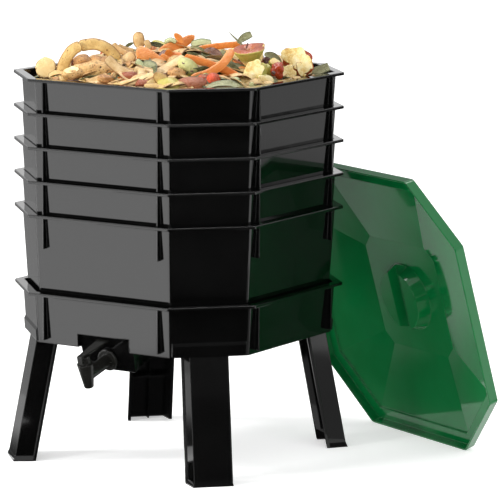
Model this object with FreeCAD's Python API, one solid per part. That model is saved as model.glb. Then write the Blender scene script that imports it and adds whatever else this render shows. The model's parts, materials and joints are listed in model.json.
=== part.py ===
import FreeCAD
import Part
import math
import os

V = FreeCAD.Vector

# Driving dimensions, millimetres. The floor is z = 0 and the stack stands on its own axis.
RIM_HALF = 250.0            # half of the octagonal rim across its long faces
RIM_WIDE_HALF = 143.3       # half the length of a long face, the corners between are cut at 45 degrees
RIM_LIP = 5.0               # height of the rim's turned-down lip
RIM_PLATE = 2.6             # thickness of the rim plate and its lip
RIM_EDGE_R = 1.4            # rounding of the rim's upper edge
RIM_CORNER_R = 6.0          # rounding of the rim's corners in plan
OVERHANG = 13.0             # rim edge to the wall's outer face
DRAFT = math.tan(math.radians(3.5))
WALL = 2.6                  # wall thickness
WALL_CORNER_R = 9.0         # rounding of the wall's upright edges

TRAY_HEIGHT = 150.0
TRAY_FLOOR = 3.0
PITCH = 58.4                # rim to rim of two stacked trays
LOWEST_TRAY_TOP = 440.0
TRAY_COUNT = 5
DRAIN_R = 3.5               # drain holes in a tray floor
DRAIN_PITCH = 30.0
DRAIN_FIELD = 200.0         # half width of the drilled field

FIN_AT = 117.5              # fins stand this far each side of a long face's middle
FIN_T = 2.6
FIN_INSET = 7.3             # fin's upright edge to the rim edge
BASE_FIN_END = 223.0

BASE_TOP = 304.5
BASE_BOTTOM = 216.0
BASE_FLOOR = 3.0
LEDGE_T = 3.0               # shelf in the base that carries the lowest tray
LEDGE_HALF = 214.0
GUSSET_AT = 92.0            # ribs under the shelf, off each face's middle
GUSSET_T = 2.6

NOTCH_HALF = 52.8           # cut-out in the front wall above the sump
NOTCH_TOP = 238.5
SUMP_T = 3.0
SUMP_TOP = 239.0
SUMP_TOP_Y = -226.0         # sump face at SUMP_TOP
SUMP_LEAN = 15.0            # lean of the sump face, degrees
SUMP_BOTTOM = 179.0
SUMP_RISE = 17.8            # slope of the sump bottom, degrees
SUMP_HALF_TOP = 56.0
SUMP_HALF_LOW = 51.0
SUMP_HALF_BACK = 44.0
SUMP_BACK_Y = -95.0

PANEL_HALF = 64.0           # raised panel over each leg socket
PANEL_PROUD = 3.0
PANEL_LOW = 218.0
PANEL_BEVEL = 236.0
PANEL_TOP = 241.0

LEG_TOP = 238.0             # the base rests on the tops of the legs
LEG_FOOT_R = 298.2          # outer web from the axis at the floor
LEG_LEAN = 0.19             # inward shift per millimetre of height
LEG_WEB_HALF = 33.0
LEG_MOUTH_HALF = 38.5
LEG_DEPTH = 32.0
LEG_T = 3.0
BEAD_DEPTH = 5.0
BEAD_HALF = 41.0
BEAD_IN_HALF = 35.8
RIB_DEPTH = 17.0
RIB_T = 2.6
RIB_STEPS = 3               # the channel is divided in this many bays by cross ribs
FOOT_FLARE = 2.0
FOOT_HEIGHT = 9.0
SOCKET_CLEARANCE = 0.3      # around the leg in its socket
SOCKET_T = 2.6

TAP_Z = 198.0               # height of the tap axis where it meets the sump face
TAIL_R = 10.5
TAIL_LENGTH = 24.0
TAP_BORE_R = 5.5
HOLE_CLEARANCE = 0.4        # tail in the sump hole
WASHER_T = 2.0
WASHER_R = 17.0
WASHER_CLEARANCE = 0.3
FLANGE_R = 19.4
FLANGE_T = 4.5
FLANGE_BEVEL = 1.4
BARREL_R = 11.0
VALVE_OUT = 67.0            # valve axis to the sump face
VALVE_TOP = 21.8
VALVE_BOTTOM = -22.5
VALVE_TOP_R = 14.5
VALVE_BOTTOM_R = 8.0
NOZZLE_EDGE_R = 2.0
PLUG_R = 7.2
PLUG_CLEARANCE = 0.3
PLUG_BOTTOM = -9.5
PLUG_PORT_R = 4.5
PLUG_PORT_TOP = 5.5
HEAD_R = 11.0
HEAD_TOP = 36.0
PEG_R = 1.2
PEG_OUT = 12.8
PEG_HEIGHT = 3.0
PEG_ANGLE = 135.0
LEVER_T = 3.5
LEVER_FRONT = 81.0
LEVER_FRONT_HALF = 5.0
LEVER_BACK = 8.0
LEVER_BACK_HALF = 11.3
LEVER_LIP_T = 2.5
LEVER_LIP_DROP = 10.0
SPLINE_R = 3.2              # stub on the head that carries the lever
SPLINE_CLEARANCE = 0.1
NUT_ACROSS = 27.0
NUT_T = 7.0

LID_HALF = 254.5            # open edge of the lid, half across its long faces
LID_T = 2.6
LID_SKIRT = 15.7
LID_SKIRT_DRAFT = 1.0
LID_BORDER = 24.5           # open edge to the step
LID_STEP_RUN = 1.5
LID_STEP = 4.3
LID_PLATEAU = 104.5         # half width of the raised middle
LID_RISE = 27.0
WELL_TOP_R = 61.0           # round finger well in the middle, split by the grip bar
WELL_LOW_R = 52.2
WELL_DEPTH = 22.0
GRIP_HALF_WIDTH = 17.3
GRIP_SINK = 2.6             # grip bar below the raised middle
LID_TURN = -24.9            # heading of the lid's bottom edge on the floor, degrees
LID_TILT = 105.8            # lid plane from the floor, degrees
LID_FOOT_X = 296.7          # middle of the bottom edge
LID_FOOT_Y = 335.05

BEDDING_TOP = 646.0
BEDDING_GAP = 0.3           # bedding to the tray wall
HEAP_STEPS = ((646.0, 228.0), (668.0, 218.0), (692.0, 188.0), (712.0, 130.0), (720.0, 60.0))
SCRAP_TURN = 32.4           # the scraps are laid out along this heading

TAN_22 = math.tan(math.radians(22.5))
SEAT_TOP = BASE_TOP - 14.5  # lowest tray's underside on the shelf
TRAY_TOPS = [LOWEST_TRAY_TOP + PITCH * k for k in range(TRAY_COUNT)]


def octagon(half, z):
    side = RIM_WIDE_HALF - TAN_22 * (RIM_HALF - half)
    flat = [(side, -half), (half, -side), (half, side), (side, half)]
    flat += [(-x, -y) for x, y in flat]
    return [V(x, y, z) for x, y in flat]


def closed(points):
    return Part.makePolygon(points + points[:1])


def frustum(low_half, low_z, high_half, high_z, corner=0.0):
    solid = Part.makeLoft([closed(octagon(low_half, low_z)), closed(octagon(high_half, high_z))], True, True)
    if corner:
        upright = [e for e in solid.Edges if abs(e.Vertexes[0].Z - e.Vertexes[1].Z) > 0.5]
        solid = solid.makeFillet(corner, upright)
    return solid


def prism(points, step):
    return Part.Face(closed(points)).extrude(step)


def turned(shape, angle):
    copy = shape.copy()
    copy.rotate(V(0, 0, 0), V(0, 0, 1), angle)
    return copy


def four(shape, first=0.0):
    return [turned(shape, first + 90.0 * k) for k in range(4)]


def joined(shapes):
    return shapes[0].multiFuse(shapes[1:])


def half_space(point, normal, size=900.0):
    block = Part.makeBox(size, size, size, V(-size / 2, -size / 2, 0))
    block.Placement = FreeCAD.Placement(point, FreeCAD.Rotation(V(0, 0, 1), normal)).multiply(block.Placement)
    return block


def wall_half(depth):
    return RIM_HALF - OVERHANG - DRAFT * depth


def corner_radius(half):
    return half + (RIM_HALF + RIM_WIDE_HALF) / math.sqrt(2) - RIM_HALF


def rim(top):
    plate = frustum(RIM_HALF, top - RIM_LIP, RIM_HALF, top, RIM_CORNER_R)
    edges = [e for e in plate.Edges if abs(e.BoundBox.ZMin - top) < 0.01 and abs(e.BoundBox.ZMax - top) < 0.01]
    plate = plate.makeFillet(RIM_EDGE_R, edges)
    inside = RIM_HALF - RIM_PLATE
    return plate.cut(frustum(inside, top - RIM_LIP, inside, top - RIM_PLATE, RIM_CORNER_R - RIM_PLATE))


def shell_block(top, height):
    return frustum(wall_half(height), top - height, wall_half(0), top, WALL_CORNER_R)


def shell_inside(top, height, floor):
    low = wall_half(height - floor) - WALL
    return frustum(low, top - height + floor, wall_half(-1.0) - WALL, top + 1.0, WALL_CORNER_R - WALL)


def fins(top, end):
    shapes = []
    out = RIM_HALF - FIN_INSET
    start = top - RIM_PLATE
    inner = [wall_half(top - start) - WALL / 2, wall_half(top - end) - WALL / 2]
    for side in (-FIN_AT, FIN_AT):
        y = side - FIN_T / 2
        corners = [V(out, y, start), V(out, y, end), V(inner[1], y, end), V(inner[0], y, start)]
        shapes += four(prism(corners, V(0, FIN_T, 0)))
    return shapes


def drain_holes(bottom):
    count = int(DRAIN_FIELD / DRAIN_PITCH)
    reach = corner_radius(DRAIN_FIELD) * math.sqrt(2)
    holes = []
    for i in range(-count, count + 1):
        for j in range(-count, count + 1):
            x = i * DRAIN_PITCH
            y = j * DRAIN_PITCH
            if abs(x) + abs(y) <= reach:
                holes.append(Part.makeCylinder(DRAIN_R, TRAY_FLOOR + 2, V(x, y, bottom - 1)))
    return Part.makeCompound(holes)


def tray():
    top = 0.0
    body = joined([shell_block(top, TRAY_HEIGHT), rim(top)] + fins(top, top - PITCH))
    body = body.cut(shell_inside(top, TRAY_HEIGHT, TRAY_FLOOR))
    return body.cut(drain_holes(top - TRAY_HEIGHT)).removeSplitter()


SUMP_OUT = V(0, -math.cos(math.radians(SUMP_LEAN)), -math.sin(math.radians(SUMP_LEAN)))


def sump_face_y(z):
    return SUMP_TOP_Y + (SUMP_TOP - z) * math.tan(math.radians(SUMP_LEAN))


def sump_block(inset, top):
    block = Part.makeBox(200, 240, top - SUMP_BOTTOM + 60, V(-100, -280, SUMP_BOTTOM - 60))
    rise = math.radians(SUMP_RISE)
    low = V(0, sump_face_y(SUMP_BOTTOM), SUMP_BOTTOM)
    back_z = SUMP_BOTTOM + (SUMP_BACK_Y - low.y) * math.tan(rise)
    a = V(SUMP_HALF_TOP, SUMP_TOP_Y, SUMP_TOP)
    b = V(SUMP_HALF_LOW, low.y, SUMP_BOTTOM)
    c = V(SUMP_HALF_BACK, SUMP_BACK_Y, back_z)
    side = (b - a).cross(c - a).normalize()
    if side.x < 0:
        side = side * -1
    planes = [(V(0, SUMP_TOP_Y, SUMP_TOP), SUMP_OUT), (low, V(0, math.sin(rise), -math.cos(rise)))]
    planes += [(a, side), (V(-a.x, a.y, a.z), V(-side.x, side.y, side.z))]
    for point, normal in planes:
        block = block.cut(half_space(point - normal * inset, normal))
    return block


def leg_outline(grow, z):
    r = LEG_FOOT_R - LEG_LEAN * z
    mouth = r - LEG_DEPTH + grow
    back = r - LEG_DEPTH - BEAD_DEPTH - grow
    right = [V(r + grow, LEG_WEB_HALF + grow, z), V(mouth, BEAD_HALF + grow, z), V(back, BEAD_HALF + grow, z)]
    return right + [V(p.x, -p.y, z) for p in reversed(right)]


def lean(height):
    return V(-LEG_LEAN * height, 0, height)


def leg_envelope(grow, low, high):
    return prism(leg_outline(grow, low), lean(high - low))


def socket(grow, low, high, out_r):
    half = LEG_WEB_HALF + grow
    inner = LEG_FOOT_R - LEG_LEAN * low - LEG_DEPTH / 2
    box = Part.makeBox(out_r - inner, 2 * half, high - low, V(inner, -half, low))
    return leg_envelope(grow, low, high).fuse(box)


def socket_wall_r():
    return corner_radius(wall_half(BASE_TOP - BASE_BOTTOM)) - WALL


def leg():
    r = LEG_FOOT_R
    web = r - LEG_T
    mouth = r - LEG_DEPTH
    back = mouth - BEAD_DEPTH
    thin = LEG_T * 0.94
    right = [(r, LEG_WEB_HALF), (mouth, LEG_MOUTH_HALF), (mouth, BEAD_HALF), (back, BEAD_HALF)]
    right += [(back, BEAD_IN_HALF), (web, LEG_WEB_HALF - thin)]
    outline = right + [(x, -y) for x, y in reversed(right)]
    body = prism([V(x, y, 0) for x, y in outline], lean(LEG_TOP))
    rib = [V(web + 1, -RIB_T / 2, 0), V(web + 1, RIB_T / 2, 0)]
    rib += [V(web - RIB_DEPTH, RIB_T / 2, 0), V(web - RIB_DEPTH, -RIB_T / 2, 0)]
    parts = [body, prism(rib, lean(LEG_TOP))]
    for k in range(1, RIB_STEPS):
        z = LEG_TOP * k / RIB_STEPS
        shift = -LEG_LEAN * z
        deep = LEG_WEB_HALF + (LEG_MOUTH_HALF - LEG_WEB_HALF) * RIB_DEPTH / LEG_DEPTH - 1
        cross = [V(web + 1 + shift, -LEG_WEB_HALF + 1, z), V(web + 1 + shift, LEG_WEB_HALF - 1, z)]
        cross += [V(web - RIB_DEPTH + shift, deep, z), V(web - RIB_DEPTH + shift, -deep, z)]
        parts.append(prism(cross, lean(RIB_T)))
    top_r = r - LEG_LEAN * FOOT_HEIGHT
    side_r = r - LEG_DEPTH
    low = [V(r + FOOT_FLARE, -LEG_WEB_HALF - FOOT_FLARE, 0), V(r + FOOT_FLARE, LEG_WEB_HALF + FOOT_FLARE, 0)]
    low += [V(side_r, LEG_MOUTH_HALF + FOOT_FLARE, 0), V(side_r, -LEG_MOUTH_HALF - FOOT_FLARE, 0)]
    high = [V(top_r, -LEG_WEB_HALF, FOOT_HEIGHT), V(top_r, LEG_WEB_HALF, FOOT_HEIGHT)]
    high += [V(top_r - LEG_DEPTH, LEG_MOUTH_HALF, FOOT_HEIGHT), V(top_r - LEG_DEPTH, -LEG_MOUTH_HALF, FOOT_HEIGHT)]
    foot = Part.makeLoft([closed(low), closed(high)], True, True)
    hollow = [V(web, -LEG_WEB_HALF + thin, -1), V(web, LEG_WEB_HALF - thin, -1)]
    hollow += [V(side_r - 9, LEG_MOUTH_HALF - 1.5, -1), V(side_r - 9, -LEG_MOUTH_HALF + 1.5, -1)]
    foot = foot.cut(prism(hollow, V(-LEG_LEAN * 12, 0, 12)))
    return joined(parts + [foot]).removeSplitter()


def base():
    height = BASE_TOP - BASE_BOTTOM
    panel_r = [corner_radius(wall_half(BASE_TOP - z)) for z in (PANEL_LOW, PANEL_BEVEL, PANEL_TOP)]
    profile = [V(panel_r[0] + PANEL_PROUD, -PANEL_HALF, PANEL_LOW)]
    profile += [V(panel_r[1] + PANEL_PROUD, -PANEL_HALF, PANEL_BEVEL), V(panel_r[2], -PANEL_HALF, PANEL_TOP)]
    profile += [V(panel_r[2] - WALL / 2, -PANEL_HALF, PANEL_TOP), V(panel_r[0] - WALL / 2, -PANEL_HALF, PANEL_LOW)]
    panels = four(prism(profile, V(0, 2 * PANEL_HALF, 0)), 45.0)
    solids = [shell_block(BASE_TOP, height), rim(BASE_TOP), sump_block(0.0, SUMP_TOP)]
    body = joined(solids + fins(BASE_TOP, BASE_FIN_END) + panels)

    face = V(0, SUMP_TOP_Y, SUMP_TOP)
    front = Part.makeBox(2 * NOTCH_HALF, 260, NOTCH_TOP - 150, V(-NOTCH_HALF, -300, 150))
    notch = front.cut(half_space(face, SUMP_OUT * -1))
    side = NOTCH_HALF + SUMP_T
    hood = Part.makeBox(2 * side, 260, NOTCH_TOP + SUMP_T - 150, V(-side, -300, 150))
    hood = hood.cut(half_space(face - SUMP_OUT * SUMP_T, SUMP_OUT * -1))

    inside = shell_inside(BASE_TOP, height, BASE_FLOOR)
    ledge_low = SEAT_TOP - LEDGE_T
    ledge = frustum(RIM_HALF, ledge_low, RIM_HALF, SEAT_TOP).cut(
        frustum(LEDGE_HALF, ledge_low, LEDGE_HALF, SEAT_TOP))
    gussets = []
    for at in (-GUSSET_AT, GUSSET_AT):
        gussets += four(Part.makeBox(RIM_HALF - LEDGE_HALF, GUSSET_T, ledge_low - BASE_BOTTOM,
                                     V(LEDGE_HALF, at - GUSSET_T / 2, BASE_BOTTOM)))
    wall_r = socket_wall_r()
    housing = socket(SOCKET_CLEARANCE + SOCKET_T, BASE_BOTTOM - 6, LEG_TOP + SOCKET_T, wall_r + 5)
    inside = inside.cut(joined([ledge, hood] + gussets + four(housing, 45.0)))
    pocket = socket(SOCKET_CLEARANCE, BASE_BOTTOM - 6, LEG_TOP, wall_r + 0.4)
    hole = Part.makeCylinder(TAIL_R + HOLE_CLEARANCE, 30, V(0, 0, -15))
    hole = tap_placed(hole)
    for tool in [notch, inside, sump_block(SUMP_T, BASE_BOTTOM + 9), hole] + four(pocket, 45.0):
        body = body.cut(tool)
    return body.removeSplitter()


def tap_placed(shape):
    copy = shape.copy()
    copy.rotate(V(0, 0, 0), V(1, 0, 0), 90.0 + SUMP_LEAN)
    copy.translate(V(0, sump_face_y(TAP_Z), TAP_Z))
    return copy


def up_cylinder(radius, low, high):
    return Part.makeCylinder(radius, high - low, V(0, low, VALVE_OUT), V(0, 1, 0))


def tap_body():
    flange = Part.makeCylinder(FLANGE_R, FLANGE_T, V(0, 0, WASHER_T))
    rims = [e for e in flange.Edges if abs(e.BoundBox.ZMin - WASHER_T - FLANGE_T) < 0.01]
    flange = flange.makeChamfer(FLANGE_BEVEL, rims)
    tail = Part.makeCylinder(TAIL_R, TAIL_LENGTH + WASHER_T + 1, V(0, 0, -TAIL_LENGTH))
    barrel = Part.makeCylinder(BARREL_R, VALVE_OUT - WASHER_T, V(0, 0, WASHER_T))
    cone = Part.makeCone(VALVE_BOTTOM_R, VALVE_TOP_R, VALVE_TOP - VALVE_BOTTOM,
                         V(0, VALVE_BOTTOM, VALVE_OUT), V(0, 1, 0))
    tip = [e for e in cone.Edges if e.BoundBox.YMax < VALVE_BOTTOM + 0.1]
    cone = cone.makeFillet(NOZZLE_EDGE_R, tip)
    angle = math.radians(PEG_ANGLE)
    peg = Part.makeCylinder(PEG_R, PEG_HEIGHT + 1,
                            V(PEG_OUT * math.sin(angle), VALVE_TOP - 1, VALVE_OUT - PEG_OUT * math.cos(angle)),
                            V(0, 1, 0))
    body = joined([flange, tail, barrel, cone, peg])
    body = body.cut(Part.makeCylinder(TAP_BORE_R, TAIL_LENGTH + VALVE_OUT, V(0, 0, -TAIL_LENGTH)))
    body = body.cut(up_cylinder(PLUG_R + PLUG_CLEARANCE, PLUG_BOTTOM - PLUG_CLEARANCE, VALVE_TOP + 1))
    return body.cut(up_cylinder(TAP_BORE_R, VALVE_BOTTOM - 1, PLUG_BOTTOM + 1)).removeSplitter()


def tap_plug():
    plug = joined([up_cylinder(PLUG_R, PLUG_BOTTOM, VALVE_TOP + 1), up_cylinder(HEAD_R, VALVE_TOP, HEAD_TOP)])
    plug = plug.fuse(up_cylinder(SPLINE_R, HEAD_TOP - 1, HEAD_TOP + LEVER_T))
    plug = plug.cut(up_cylinder(PLUG_PORT_R, PLUG_BOTTOM - 1, PLUG_PORT_TOP))
    port = Part.makeCylinder(PLUG_PORT_R, PLUG_R + 2, V(0, 0, VALVE_OUT), V(1, 0, 0))
    return plug.cut(port).removeSplitter()


def tap_lever():
    low = HEAD_TOP
    plan = [V(-LEVER_FRONT_HALF, low, LEVER_FRONT), V(LEVER_FRONT_HALF, low, LEVER_FRONT)]
    plan += [V(LEVER_BACK_HALF, low, LEVER_BACK), V(-LEVER_BACK_HALF, low, LEVER_BACK)]
    plate = prism(plan, V(0, LEVER_T, 0))
    lip = Part.makeBox(2 * LEVER_FRONT_HALF, LEVER_LIP_DROP + 1, LEVER_LIP_T,
                       V(-LEVER_FRONT_HALF, low - LEVER_LIP_DROP, LEVER_FRONT - LEVER_LIP_T))
    lever = plate.fuse(lip)
    return lever.cut(up_cylinder(SPLINE_R + SPLINE_CLEARANCE, low - 1, low + LEVER_T + 1)).removeSplitter()


def ring(outer, inner, low, high):
    disc = Part.makeCylinder(outer, high - low, V(0, 0, low))
    return disc.cut(Part.makeCylinder(inner, high - low + 2, V(0, 0, low - 1)))


def tap_nut():
    high = -SUMP_T - WASHER_T
    corner_r = NUT_ACROSS / math.sqrt(3)
    points = [V(corner_r * math.cos(math.radians(60 * k)), corner_r * math.sin(math.radians(60 * k)), high)
              for k in range(6)]
    nut = prism(points, V(0, 0, -NUT_T))
    return nut.cut(Part.makeCylinder(TAIL_R + HOLE_CLEARANCE, NUT_T + 2, V(0, 0, high - NUT_T - 1)))


def lid_form(out):
    skirt_top = LID_SKIRT + out
    step_in = LID_HALF - LID_BORDER + out
    foot = frustum(LID_HALF - LID_T + out, 0.0 if out else -1.0, LID_HALF - LID_T + out - LID_SKIRT_DRAFT, skirt_top,
                   WALL_CORNER_R)
    facet = step_in - LID_STEP_RUN
    step = frustum(step_in, skirt_top - 1, facet, skirt_top + LID_STEP)
    top = skirt_top + LID_STEP + LID_RISE
    crown = frustum(facet, skirt_top + LID_STEP, LID_PLATEAU, top)
    form = joined([foot, step, crown])
    well_low = top - WELL_DEPTH
    wall = 0.0 if out else LID_T
    well = Part.makeCone(WELL_LOW_R + wall, WELL_TOP_R + wall, WELL_DEPTH, V(0, 0, well_low))
    wide = GRIP_HALF_WIDTH + out
    long = WELL_TOP_R + 2 * LID_T
    bar = Part.makeBox(2 * wide, 2 * long, WELL_DEPTH - GRIP_SINK, V(-wide, -long, well_low))
    return form.cut(well).fuse(bar)


def lid():
    shell = lid_form(LID_T).cut(lid_form(0.0)).removeSplitter()
    turn = math.radians(LID_TURN)
    tilt = math.radians(LID_TILT)
    along = V(math.cos(turn), math.sin(turn), 0)
    level = V(-math.sin(turn), math.cos(turn), 0)
    up = level * math.cos(tilt) + V(0, 0, 1) * math.sin(tilt)
    away = up.cross(along)
    centre = V(LID_FOOT_X, LID_FOOT_Y, 0) + up * LID_HALF
    x = along * -1
    matrix = FreeCAD.Matrix(x.x, up.x, away.x, centre.x, x.y, up.y, away.y, centre.y,
                            x.z, up.z, away.z, centre.z, 0, 0, 0, 1)
    shell.Placement = FreeCAD.Placement(matrix).multiply(shell.Placement)
    return shell


def spot(across, back, z):
    turn = math.radians(SCRAP_TURN)
    return V(across * math.cos(turn) - back * math.sin(turn), across * math.sin(turn) + back * math.cos(turn), z)


def lump(across, back, z, sizes, heading=0.0):
    ball = Part.makeSphere(1.0)
    stretch = FreeCAD.Matrix()
    stretch.scale(*sizes)
    ball = ball.transformGeometry(stretch)
    ball.rotate(V(0, 0, 0), V(0, 0, 1), SCRAP_TURN + heading)
    ball.translate(spot(across, back, z))
    return ball


def strip(across, back, z, length, width, thickness, heading, pitch=0.0):
    box = Part.makeBox(length, width, thickness, V(-length / 2, -width / 2, -thickness / 2))
    box.rotate(V(0, 0, 0), V(0, 1, 0), pitch)
    box.rotate(V(0, 0, 0), V(0, 0, 1), SCRAP_TURN + heading)
    box.translate(spot(across, back, z))
    return box


def core(across, back, z, size, heading, tip):
    profile = [(0, -0.9), (0.55, -1.0), (0.95, -0.8), (0.55, -0.25), (0.5, 0.25), (0.9, 0.8), (0.5, 1.0), (0, 0.85)]
    face = Part.Face(closed([V(size * x, 0, size * h) for x, h in profile]))
    body = face.revolve(V(0, 0, 0), V(0, 0, 1), 360)
    body.rotate(V(0, 0, 0), V(0, 1, 0), tip)
    body.rotate(V(0, 0, 0), V(0, 0, 1), SCRAP_TURN + heading)
    body.translate(spot(across, back, z))
    return body


def heap():
    steps = []
    for k in range(len(HEAP_STEPS) - 1):
        low, high = HEAP_STEPS[k], HEAP_STEPS[k + 1]
        steps.append(frustum(low[1], low[0], high[1], high[0]))
    return joined(steps)


def peel_arch():
    ring_out = Part.makeCylinder(56.0, 17.0, V(0, 8.5, 0), V(0, -1, 0))
    ring_in = Part.makeCylinder(44.0, 19.0, V(0, 9.5, 0), V(0, -1, 0))
    arch = ring_out.cut(ring_in).cut(Part.makeBox(140, 40, 70, V(-70, -20, -70)))
    arch.rotate(V(0, 0, 0), V(0, 0, 1), SCRAP_TURN + 14.0)
    arch.translate(spot(-152.0, -62.0, 681.0))
    return arch


os.makedirs("parts", exist_ok=True)
nodes = {}
one_tray = tray()
for k, tray_top in enumerate(TRAY_TOPS):
    copy = one_tray.copy()
    copy.translate(V(0, 0, tray_top))
    nodes["tray_%d" % (TRAY_COUNT - k)] = copy
nodes["base"] = base()
for k, shape in enumerate(four(leg(), 45.0)):
    nodes["leg_%d" % (k + 1)] = shape

nodes["tap_body"] = tap_placed(tap_body())
nodes["tap_plug"] = tap_placed(tap_plug())
nodes["tap_lever"] = tap_placed(tap_lever())
seal_r = TAIL_R + WASHER_CLEARANCE
nodes["tap_washer_outer"] = tap_placed(ring(WASHER_R, seal_r, 0.0, WASHER_T))
nodes["tap_washer_inner"] = tap_placed(ring(NUT_ACROSS / 2, seal_r, -SUMP_T - WASHER_T, -SUMP_T))
nodes["tap_nut"] = tap_placed(tap_nut())
nodes["lid"] = lid()

top_rim = TRAY_TOPS[-1]
fill_low = top_rim - TRAY_HEIGHT + TRAY_FLOOR
nodes["bedding"] = frustum(wall_half(top_rim - fill_low) - WALL - BEDDING_GAP, fill_low,
                           wall_half(top_rim - BEDDING_TOP) - WALL - BEDDING_GAP, BEDDING_TOP,
                           WALL_CORNER_R - WALL)
mound = heap()
scraps = {
    "potato_pieces": [lump(-228, -36, 688, (17, 15, 20)), lump(-155, -112, 694, (42, 26, 22)),
                      lump(22, -206, 686, (28, 22, 14)), lump(-72, 20, 722, (11, 8, 15))],
    "potato_peel": [peel_arch(), strip(-95, -150, 696, 76, 16, 3, 18, 8)],
    "carrot_ribbons": [strip(-45, -70, 722, 92, 18, 3, 12, 14), strip(10, -40, 726, 70, 18, 3, 118, -22),
                       strip(75, -150, 706, 110, 16, 3, 48, -14)],
    "apple_cores": [core(125, -40, 714, 26, 30, 60), core(138, -128, 698, 25, 70, 50),
                    core(176, -84, 700, 20, 10, 20), core(206, -22, 700, 25, 100, 15)],
}
taken = [mound]
for name, pieces in scraps.items():
    kept = []
    for piece in pieces:
        for other in taken:
            piece = piece.cut(other)
        kept += sorted(piece.Solids, key=lambda s: s.Volume)[-1:]
        taken.append(kept[-1])
    nodes[name] = Part.makeCompound(kept)
nodes["scraps_heap"] = mound

box = FreeCAD.BoundBox()
for shape in nodes.values():
    box.add(shape.optimalBoundingBox(False))
shift = V(-box.Center.x, -box.Center.y, 0)
for name, shape in nodes.items():
    shape.translate(shift)
    shape.exportStep("parts/%s.step" % name)
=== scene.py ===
import json
import math
import random

import bpy
from mathutils import Matrix, Vector, noise


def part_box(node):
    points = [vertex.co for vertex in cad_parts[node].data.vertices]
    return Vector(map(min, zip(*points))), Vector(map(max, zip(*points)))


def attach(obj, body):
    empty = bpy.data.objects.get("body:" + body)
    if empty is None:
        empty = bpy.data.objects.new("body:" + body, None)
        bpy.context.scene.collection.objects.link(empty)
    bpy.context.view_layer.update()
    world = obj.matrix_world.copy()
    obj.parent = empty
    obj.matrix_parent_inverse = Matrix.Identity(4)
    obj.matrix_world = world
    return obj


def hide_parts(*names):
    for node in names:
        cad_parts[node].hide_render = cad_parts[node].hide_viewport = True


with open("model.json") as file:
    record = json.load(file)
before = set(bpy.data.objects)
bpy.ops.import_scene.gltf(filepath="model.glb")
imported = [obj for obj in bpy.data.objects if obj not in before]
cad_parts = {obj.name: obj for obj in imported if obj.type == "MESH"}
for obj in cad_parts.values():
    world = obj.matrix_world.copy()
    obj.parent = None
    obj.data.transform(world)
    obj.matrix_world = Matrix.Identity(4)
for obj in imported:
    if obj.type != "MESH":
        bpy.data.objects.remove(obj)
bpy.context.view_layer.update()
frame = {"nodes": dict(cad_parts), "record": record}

# The stack's upright axis on the floor. Places in this script are given from it, in metres.
base_low, base_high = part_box("base")
axis = Vector(((base_low.x + base_high.x) / 2, (base_low.y + base_high.y) / 2, 0.0))

# The camera, as fitted to the photograph.
PICTURE_SIZE = 500.0
SENSOR_WIDTH = 36.0
FOCAL_LENGTH = 259.05
CAMERA_PLACE = Vector((3.43689, -5.18857, 1.36297))
VIEW_TURN = math.radians(32.367)
VIEW_DROP = math.radians(9.171)
VIEW_ROLL = math.radians(0.226)

# The heap of scraps, from the top tray and its bedding: how far it lies inside the rim's outer edge, how far
# under the rim at the wall and over it in the middle, how fast it falls off, how deep the compost lies under
# the scraps, and how far that reaches down into the bedding.
HEAP_INSET = 0.0195
HEAP_DROP = 0.0106
HEAP_RISE = 0.0304
HEAP_FALL = 1.15
COMPOST_SINK = 0.016
COMPOST_OVERLAP = 0.014
rim_low, rim_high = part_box("tray_1")
HEAP_HALF = (rim_high.x - rim_low.x) / 2 - HEAP_INSET
HEAP_EDGE = rim_high.z - HEAP_DROP
HEAP_TOP = rim_high.z + HEAP_RISE
COMPOST_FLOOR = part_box("bedding")[1].z - COMPOST_OVERLAP
# The distance of the tray's straight walls from its axis, as a share of that of its cut corners.
CORNER_SHARE = 0.899
# How far out a scrap may reach, as a share of the heap's half width, in the tray and clear of the rim.
REACH_IN_TRAY = 0.985
REACH_OVER_RIM = 1.02
RIM_CLEARANCE = 0.0024


class Socket:
    """A shader output that takes part in Python sums; each operation adds a Math node."""

    def __init__(self, finish, link):
        self.finish = finish
        self.link = link

    def maths(self, operation, *others):
        return self.finish.node("ShaderNodeMath", {"operation": operation}, dict(enumerate((self,) + others)))

    def __add__(self, other):
        return self.maths("ADD", other)

    def __sub__(self, other):
        return self.maths("SUBTRACT", other)

    def __rsub__(self, other):
        return (self * -1.0).maths("ADD", other)

    def __mul__(self, other):
        return self.maths("MULTIPLY", other)

    def rises(self, low, high):
        """0 below low, 1 above high, smooth in between."""
        settings = {"interpolation_type": "SMOOTHSTEP"}
        return self.finish.node("ShaderNodeMapRange", settings, {0: self, 1: low, 2: high, 3: 0.0, 4: 1.0})


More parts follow.
